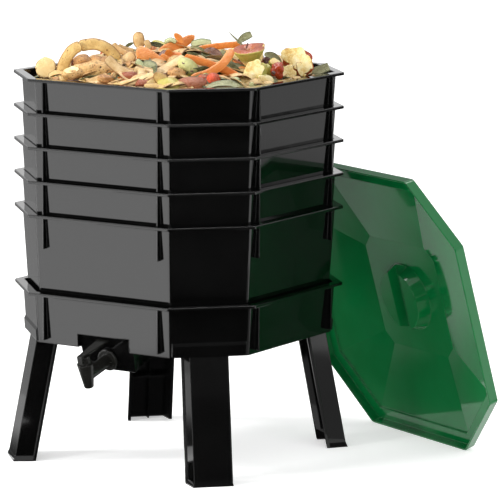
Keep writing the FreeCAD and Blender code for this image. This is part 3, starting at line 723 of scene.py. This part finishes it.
# Cut sides: facing, and share of the radius that is left.
PALE_FACE = (((-0.1, -1.0, 0.25), 0.3),)
SLICE = (((0.05, -1.0, 0.15), 0.45), ((0.0, 1.0, 0.0), 0.3))
CHUNKS = {
    # name: kind, place in the picture, depth, half sizes, heading, lean, roughness, seed and tone, and after
    # them its cut sides, rings, points round and skin, as far as they differ from a plain lump's
    "potato half at the left corner":
        (potatoes, (45.8, 68.0), -0.055, (0.0175, 0.014, 0.019), 0.1, 0.15, 0.05, 3, 0.6, PALE_FACE),
    "potato slice beside it":
        (potatoes, (56.8, 75.5), -0.09, (0.015, 0.012, 0.009), 0.2, 0.0, 0.08, 5, 0.7, PALE_FACE),
    "potato under the arch": (potatoes, (83.5, 62.0), -0.06, (0.0175, 0.016, 0.0125), 0.3, 0.1, 0.1, 9, 0.4),
    "potato right under the arch":
        (potatoes, (99.5, 62.5), -0.06, (0.021, 0.018, 0.0125), -0.2, 0.0, 0.1, 10, 0.55),
    "long potato": (potatoes, (92.5, 70.5), -0.11, (0.043, 0.022, 0.0165), 0.05, -0.1, 0.12, 8, 0.85),
    "end of the long potato":
        (potatoes, (73.5, 73.5), -0.125, (0.02, 0.012, 0.0105), 0.05, -0.1, 0.09, 27, 0.8),
    "peeled spot on it":
        (potatoes, (71.5, 69.8), -0.132, (0.0125, 0.008, 0.0055), 0.1, -0.2, 0.06, 6, 0.9,
         (((0.0, -1.0, 0.9), 0.1),)),
    "cut piece below it":
        (potatoes, (116.5, 77.0), -0.15, (0.0095, 0.01, 0.0105), 0.4, 0.3, 0.14, 28, 0.8,
         (((0.2, -1.0, 0.4), 0.3),)),
    "brown piece at the wall":
        (potatoes, (107.0, 79.5), -0.155, (0.017, 0.012, 0.0085), 0.1, 0.1, 0.1, 29, 0.3),
    "brown potato": (potatoes, (176.5, 74.0), -0.165, (0.0165, 0.014, 0.0115), 0.1, 0.2, 0.07, 11, 0.45),
    "slice at the front corner":
        (potatoes, (153.5, 84.0), -0.2, (0.0125, 0.012, 0.0085), 0.4, 0.0, 0.12, 14, 0.7, PALE_FACE),
    "red potato": (reds, (192.0, 84.0), -0.205, (0.0285, 0.02, 0.0125), 0.1, 0.0, 0.06, 12, 0.85),
    "tomato": (reds, (213.5, 80.5), -0.2, (0.0125, 0.013, 0.0135), 0.0, 0.0, 0.03, 13, 0.0),
    "tomato behind it": (reds, (204.0, 79.5), -0.19, (0.012, 0.012, 0.0095), 0.0, 0.0, 0.06, 31, 0.3),
    "red skin among the peelings":
        (reds, (131.5, 77.0), -0.16, (0.019, 0.014, 0.009), 0.1, 0.1, 0.1, 32, 0.45),
    "red skin at the wall": (reds, (144.0, 83.5), -0.19, (0.016, 0.012, 0.008), 0.1, 0.0, 0.1, 33, 0.55),
    "green fruit": (fruit, (188.0, 66.2), -0.15, (0.0205, 0.017, 0.0125), 0.1, 0.62, 0.05, 15, 0.7),
    "small green fruit": (fruit, (252.5, 85.0), -0.16, (0.0105, 0.01, 0.0075), 0.3, 0.0, 0.08, 16, 0.9),
    "courgette end":
        (rinds, (230.5, 83.5), -0.19, (0.021, 0.012, 0.0095), 0.0, -0.12, 0.24, 17, 0.75,
         (((0.1, -1.0, 0.6), 0.2),)),
    "pale bit beside it":
        (potatoes, (243.0, 86.0), -0.19, (0.0065, 0.007, 0.005), 0.0, 0.0, 0.1, 34, 0.9, PALE_FACE),
    # Two small dark lumps on the green fruit are painted shade for the inside of its holes.
    "painted shade of the upper hole in the fruit":
        (onions, (183.5, 63.4), -0.163, (0.0026, 0.003, 0.002), 0.3, 0.4, 0.3, 35, 0.0, (), 8, 12),
    "painted shade of the lower hole in the fruit":
        (onions, (191.5, 70.8), -0.163, (0.0026, 0.003, 0.002), 0.3, 0.4, 0.3, 35, 0.0, (), 8, 12),
}
HALF_APPLE_PLACE = (250.3, 56.8)
HALF_APPLE_DEPTH = -0.075
APPLE_PIECES = {
    # name: the same facts as above
    "flesh beside the half-eaten apple":
        (apples, (262.6, 52.5), -0.082, (0.0055, 0.007, 0.0135), 0.2, 0.25, 0.2, 61, 0.4,
         (((0.3, -1.0, 0.2), 0.1), ((1.0, -0.2, 0.1), 0.2))),
    "stalk of that apple":
        (onions, (247.0, 45.6), -0.085, (0.0017, 0.0017, 0.005), 0.2, 0.3, 0.1, 36, 0.1, (), 8, 10),
    "core in front":
        (apples, (253.5, 72.5), -0.137, (0.0225, 0.012, 0.0165), 0.0, -0.75, 0.2, 44, 0.3, SLICE, 30, 48),
    "core at the wall":
        (apples, (266.0, 80.0), -0.145, (0.0145, 0.011, 0.0085), 0.1, 0.3, 0.13, 43, 0.3, SLICE),
    "red end of a core":
        (apples, (277.5, 70.5), -0.118, (0.0115, 0.0105, 0.0125), 0.5, 0.5, 0.24, 9, 0.9, (), 20, 30, 2.2),
    "green side of it": (apples, (267.0, 70.0), -0.112, (0.0085, 0.0095, 0.0125), 0.1, -0.3, 0.2, 10, 0.1),
    "flesh behind it": (apples, (274.5, 62.5), -0.1, (0.0105, 0.008, 0.0075), 0.1, 0.4, 0.2, 11, 0.3, SLICE),
    "dark calyx of it":
        (onions, (273.4, 72.6), -0.1295, (0.0036, 0.003, 0.0034), 0.2, 0.3, 0.2, 37, 0.0, (), 8, 10),
    "flat core at the right":
        (apples, (297.5, 60.0), -0.055, (0.0275, 0.0095, 0.0215), -0.2, 0.62, 0.19, 52, 0.95,
         (((-0.08, -1.0, 0.1), 0.3),), 34, 56, 1.9),
    "lower lobe of it":
        (apples, (302.0, 70.0), -0.058, (0.0105, 0.012, 0.0145), 0.2, -0.25, 0.2, 48, 0.9,
         SLICE, 20, 30, 1.7),
    "left lobe of it": (apples, (287.5, 73.0), -0.08, (0.0125, 0.011, 0.0125), 0.1, 0.3, 0.3, 49, 0.4, SLICE),
    "pip in it": (potatoes, (291.8, 67.0), -0.07, (0.0032, 0.003, 0.0034), 0.3, 0.4, 0.2, 35, 0.0, (), 8, 12),
}

STRIPS = {
    # name: kind, places in the picture, width, tone, depth or None for the heap's own, what else is its own
    "arched peel, left half":
        (peelings, ((63.0, 78.5), (62.3, 70.0), (65.0, 61.0), (69.5, 53.5), (75.0, 48.3), (81.5, 46.0)),
         0.0205, 0.62, -0.082, dict(cup=0.09, steps=36)),
    "arched peel, right half":
        (peelings, ((78.5, 46.5), (88.0, 44.3), (98.0, 44.6), (107.0, 48.5), (113.0, 54.0), (118.0, 61.0)),
         0.0205, 0.56, -0.074, dict(cup=0.09, steps=36)),
    "peel that leans on the arch":
        (peelings, ((106.5, 57.0), (115.5, 66.5), (127.0, 73.2), (143.0, 77.5)),
         0.0185, 0.3, None, dict(lean=(0.8, 0.2), steps=30)),
    "long peel, lower part":
        (peelings, ((119.5, 84.5), (136.0, 80.5), (154.0, 74.0)),
         0.0135, 0.36, None, dict(facing=sloped, steps=26)),
    "long peel, upper part":
        (peelings, ((151.5, 75.0), (166.0, 67.5), (184.5, 57.5)),
         0.0165, 0.3, None, dict(facing=sloped, tilt=0.03, steps=26)),
    "broad peel at the front corner":
        (peelings, ((154.5, 73.0), (162.0, 80.0), (169.5, 88.0)),
         0.0235, 0.62, None, dict(cup=0.2, round_end=0.9, steps=26)),
    "rounded peel":
        (peelings, ((119.0, 67.0), (126.5, 60.0), (134.5, 53.5)),
         0.0215, 0.38, None, dict(cup=0.16, round_end=0.55, steps=26)),
    "thin peel behind the arch":
        (peelings, ((112.5, 44.0), (119.5, 49.5), (131.0, 55.5)), 0.0105, 0.3, 0.0, dict(steps=22)),
    "thinner peel behind it":
        (peelings, ((118.0, 45.5), (125.0, 48.5), (134.0, 51.0)), 0.008, 0.42, 0.01, dict(steps=22)),
    "peel at the front left wall":
        (peelings, ((87.0, 83.0), (98.0, 78.8), (108.0, 75.5)), 0.0115, 0.3, None, dict(steps=22)),
    "peel under the carrots":
        (peelings, ((134.0, 68.5), (143.0, 71.5), (152.5, 71.5)), 0.0125, 0.4, None, dict(steps=22)),
    "slice that stands up":
        (peelings, ((139.5, 31.8), (138.6, 39.0), (140.5, 48.5)),
         0.0205, 0.28, 0.02, dict(cup=0.1, thick=0.004, round_end=0.62, steps=26)),
    "peel beside it":
        (peelings, ((145.5, 40.0), (148.0, 45.0), (149.5, 49.0)), 0.0115, 0.34, 0.01, dict(steps=20)),
    "broad pink ribbon":
        (carrots, ((136.5, 50.0), (147.0, 54.5), (156.0, 61.0), (164.5, 66.5)),
         0.0225, 0.95, None, dict(lean=(0.5, 0.1), steps=30)),
    "ribbon in its shade":
        (carrots, ((137.5, 54.5), (143.0, 58.5), (149.0, 61.5)), 0.013, 0.35, None, dict(steps=20)),
    "ribbon above it":
        (carrots, ((147.5, 46.5), (154.0, 49.5), (160.5, 53.5)),
         0.0135, 0.6, None, dict(facing=sloped, steps=20)),
    "ribbon that rises to the top":
        (carrots, ((158.0, 53.5), (167.0, 48.5), (180.0, 45.0), (194.5, 36.5)),
         0.0175, 0.6, None, dict(tilt=0.03, round_end=1.5, steps=30)),
    "twisted ribbon":
        (carrots, ((166.0, 50.5), (172.5, 56.0), (182.0, 55.5)),
         0.0145, 0.5, None, dict(twist=0.9, steps=24)),
    "short ribbon":
        (carrots, ((160.0, 56.0), (166.5, 59.5), (170.0, 62.5)), 0.0125, 0.7, None, dict(steps=20)),
    "tip at the top":
        (carrots, ((174.4, 33.4), (179.0, 38.0), (183.0, 43.0)),
         0.0115, 0.75, 0.0, dict(round_end=1.2, steps=20)),
    "level ribbon":
        (carrots, ((197.5, 49.8), (215.0, 46.5), (240.5, 44.0)), 0.0115, 0.55, 0.0, dict(steps=24)),
    "ribbon across the middle":
        (carrots, ((190.5, 77.0), (206.0, 73.3), (220.0, 66.0), (228.5, 57.0), (231.8, 50.5)),
         0.0145, 0.62, -0.155, dict(tilt=0.05, round_end=0.75, steps=34)),
    "ribbon that crosses it":
        (carrots, ((184.0, 57.0), (206.0, 63.0), (225.0, 70.0), (242.0, 79.0)),
         0.0135, 0.42, -0.145, dict(steps=34)),
    "rind under the broad ribbon":
        (rinds, ((136.0, 60.0), (143.5, 65.8), (153.5, 67.5)), 0.0115, 0.9, None, dict(cup=0.3, steps=24)),
    "rind behind the top":
        (rinds, ((191.0, 44.5), (201.5, 42.0), (211.5, 43.5)), 0.0125, 0.95, 0.01, dict(steps=24)),
    "curled rind":
        (rinds, ((164.5, 42.5), (170.5, 39.8), (176.5, 42.0)), 0.0085, 0.9, 0.0, dict(cup=0.3, steps=24)),
}

BLADES = {
    # name: kind, places in the picture, width, tone, depth or None for the heap's own, what else is its own
    "dark leaf behind the carrots":
        (leaves, ((148.0, 43.0), (157.0, 44.6), (166.0, 46.6)), 0.009, 0.0, 0.02, dict(fold=0.1)),
    "dark leaf behind the slice":
        (leaves, ((125.0, 47.0), (129.5, 44.5), (134.0, 42.5)), 0.006, 0.0, 0.02, dict(fold=0.1)),
    "folded leaf":
        (leaves, ((190.5, 46.5), (200.5, 51.5), (212.0, 57.5)), 0.0135, 0.95, None, dict(fold=0.5)),
    "dark leaf under it":
        (leaves, ((187.0, 52.5), (197.0, 56.0), (209.0, 58.5)), 0.009, 0.1, None, dict(fold=0.3)),
    "stalk that sticks up":
        (leaves, ((229.0, 32.2), (236.5, 39.5), (245.5, 48.0)),
         0.0036, 0.45, -0.01, dict(fold=0.1, thick=0.002, blunt=1.0)),
    "leaf that stands up":
        (leaves, ((237.0, 43.5), (244.0, 37.5), (251.5, 34.0)), 0.0135, 0.7, 0.0, dict(fold=0.15, blunt=0.5)),
    "onion skin in the middle":
        (onions, ((204.5, 50.0), (214.0, 53.0), (227.0, 59.5)), 0.017, 0.75, None, dict(fold=0.12)),
    "long leaf": (leaves, ((221.0, 50.0), (231.0, 61.0), (243.5, 74.5)), 0.0125, 0.85, None, dict(fold=0.2)),
    "leaf beside it":
        (leaves, ((228.0, 62.0), (236.0, 69.0), (243.0, 74.0)), 0.009, 0.5, None, dict(fold=0.2)),
    "leaf behind the apples":
        (leaves, ((264.5, 53.5), (273.0, 57.0), (282.0, 62.5)), 0.0155, 0.75, -0.02, dict(fold=0.2)),
    "onion skin between the apples":
        (onions, ((264.0, 57.5), (269.0, 62.0), (272.5, 66.5)), 0.0125, 0.2, -0.03, dict(fold=0.2)),
    "leek leaf at the right corner":
        (leaves, ((293.5, 78.5), (307.0, 75.0), (319.0, 70.5), (329.0, 66.5)),
         0.0165, 0.95, -0.02, dict(fold=0.12, blunt=0.7)),
    "leek leaf in front of it":
        (leaves, ((298.0, 79.5), (309.0, 77.0), (322.0, 73.5)), 0.011, 0.9, -0.03, dict(fold=0.2)),
}


def on_heap(lift, reach):
    """A random place on the heap, with the heap's own facing there."""
    while True:
        x, y = rng.uniform(-1, 1) * HEAP_HALF, rng.uniform(-1, 1) * HEAP_HALF
        if outness(x, y) < reach:
            return axis + Vector((x, y, heap_height(x, y) + lift)), heap_normal(x, y)


def strew_lumps(pile, count, sizes, sink, tones, cut_share, reach):
    for k in range(count):
        place, normal = on_heap(0.0, reach)
        size = rng.uniform(*sizes)
        facing = normal + Vector((rng.uniform(-1, 1), rng.uniform(-1, 1), 0.1))
        cuts = ((facing, rng.uniform(0.1, 0.6)),) if rng.random() < cut_share else ()
        lengths = (size * rng.uniform(1, 1.5), size, size * rng.uniform(0.6, 0.9))
        lump(pile, inside_tray(place - normal * sink), lengths, heading=rng.uniform(0, 6),
             lean=rng.uniform(-0.5, 0.5), rough=0.1, seed=k, tone=rng.uniform(*tones), cuts=cuts, rings=12,
             turns=18)


def strew_strips(pile, count, lengths, widths, lift, reach, curl, leafy):
    """Strips or leaves lying along the heap's slope and curling off it at their ends."""
    for _ in range(count):
        place, normal = on_heap(rng.uniform(-0.003, lift), reach)
        turn = rng.uniform(0, 2 * math.pi)
        tangent = Vector((math.cos(turn), math.sin(turn), 0))
        tangent = (tangent - normal * tangent.dot(normal)).normalized()
        side = normal.cross(tangent)
        half = rng.uniform(*lengths) / 2
        bend = rng.uniform(-curl, curl) * half
        arc = rng.uniform(-0.12, curl) * half / 2
        knots = [place - tangent * half + side * bend - normal * arc, place + normal * arc,
                 place + tangent * half + side * bend - normal * arc]
        knots = [inside_tray(knot) for knot in knots]
        facing = normal + side * rng.uniform(-0.6, 0.6)
        if leafy:
            leaf(pile, knots, rng.uniform(*widths), facing, fold=rng.uniform(0.05, 0.5), tone=rng.random(),
                 steps=12)
        else:
            ribbon(pile, knots, rng.uniform(*widths), facing, rng.random(), cup=rng.uniform(0.02, 0.16),
                   thick=0.0013, round_end=rng.uniform(0.5, 1.7), twist=rng.uniform(-1.1, 1.1), steps=16,
                   ragged=0.16)


def fill_heap():
    """The mass of scraps that the picked-out ones lie on, the same all round the tray."""
    for facts in FILL_LUMPS:
        strew_lumps(*facts)
    for facts in FILL_STRIPS:
        strew_strips(*facts)
    for k, (x, y, size) in enumerate(HIDDEN_CORES):
        place = axis + Vector((x, y, heap_height(x, y) - HIDDEN_CORE_SINK))
        apple_core(apples, place, (WAIST, BELL)[k % 2], size, heading=k * 1.3, lean=1.1 + 0.2 * k, pitch=0.0,
                   seed=k + 20, tone=0.2 + 0.15 * k, lobes=0.25, turns=30, steps=24)


def front_row():
    """Peelings that crowd up against the two front walls, level with the rim."""
    for px, py in FRONT_ROW:
        place = seen_at(px, py, over=-0.004)
        side = right * rng.uniform(0.02, 0.032)
        rise = Vector((0, 0, rng.uniform(-0.004, 0.006)))
        knots = [place - side - rise, place + Vector((0, 0, 0.003)), place + side + rise]
        ribbon(peelings, [inside_tray(knot) for knot in knots], rng.uniform(0.012, 0.018), sloped,
               rng.uniform(0.5, 0.9), cup=0.08, twist=rng.uniform(-0.8, 0.8))


def traced(places, depth):
    """World points for places of the picture, at the depth given or at that of the middle one on the heap."""
    if depth is None:
        on_top = seen_at(*places[len(places) // 2], over=0.006)
        depth = (on_top - axis).dot(beyond)
    return [seen_at(px, py, depth) for px, py in places]


def chunk(pile, place, depth, *shape):
    lump(pile, seen_at(*place, depth), *shape)


def strip(pile, places, width, tone, depth, tilt=0.0, facing=toward, **shape):
    """A ribbon through places of the picture, whose ends may lie at different depths by the tilt."""
    knots = traced(places, depth)
    knots = [knot + beyond * (tilt * (i / (len(knots) - 1) - 0.5)) for i, knot in enumerate(knots)]
    ribbon(pile, knots, width, facing, tone, **shape)


def blade(pile, places, width, tone, depth, **shape):
    leaf(pile, traced(places, depth), width, toward, tone, **shape)


def named_scraps():
    """The pieces that the picture shows one by one."""
    for facts in CHUNKS.values():
        chunk(*facts)
    for *facts, shape in STRIPS.values():
        strip(*facts, **shape)
    for *facts, shape in BLADES.values():
        blade(*facts, **shape)
    apple_core(apples, seen_at(*HALF_APPLE_PLACE, HALF_APPLE_DEPTH), BELL, 0.0285, heading=0.3, lean=-0.2,
               pitch=0.14, seed=2, tone=0.6, lobes=0.17)
    for facts in APPLE_PIECES.values():
        chunk(*facts)


def heap_body():
    """The compost and fine scraps that the pieces lie on, from wall to wall. Its dark colour, where it shows
    between the pieces, is partly painted shade.
    """
    count = 76
    points, faces = [], []
    for i in range(count + 1):
        for j in range(count + 1):
            x, y = (i / count * 2 - 1) * HEAP_HALF, (j / count * 2 - 1) * HEAP_HALF
            share = min(1.0, 1.0 / max(outness(x, y), 1e-6))
            x, y = x * share, y * share
            crumb = noise.noise(Vector((x, y, 0.0)) * 60.0) * 0.003
            crumb += noise.noise(Vector((x, y, 3.0)) * 160.0) * 0.0014
            points.append(axis + Vector((x, y, heap_height(x, y) - COMPOST_SINK + crumb)))
    row = count + 1
    for i in range(count):
        for j in range(count):
            corner = i * row + j
            faces.append((corner, corner + row, corner + row + 1, corner + 1))
    edge = [i * row for i in range(row)] + [count * row + j for j in range(1, row)]
    edge += [i * row + count for i in range(count - 1, -1, -1)] + list(range(count - 1, 0, -1))
    low = len(points)
    points += [Vector((points[i].x, points[i].y, COMPOST_FLOOR)) for i in edge]
    for k in range(len(edge)):
        k2 = (k + 1) % len(edge)
        faces.append((edge[k2], edge[k], low + k, low + k2))
    faces.append(tuple(low + k for k in range(len(edge))))
    pile = Pile("compost_heap_and_gap_shade", compost_and_gap_shade_finish(), "compost")
    pile.add(points, faces, [0.0] * len(points), 0.5)
    return pile


fill_heap()
front_row()
named_scraps()
heap_body().build("scraps_heap", "bedding")
potatoes.build("potato_pieces")
peelings.build("potato_peel")
carrots.build("carrot_ribbons")
apples.build("apple_cores")
for pile in (rinds, leaves, onions, reds, fruit):
    pile.build()
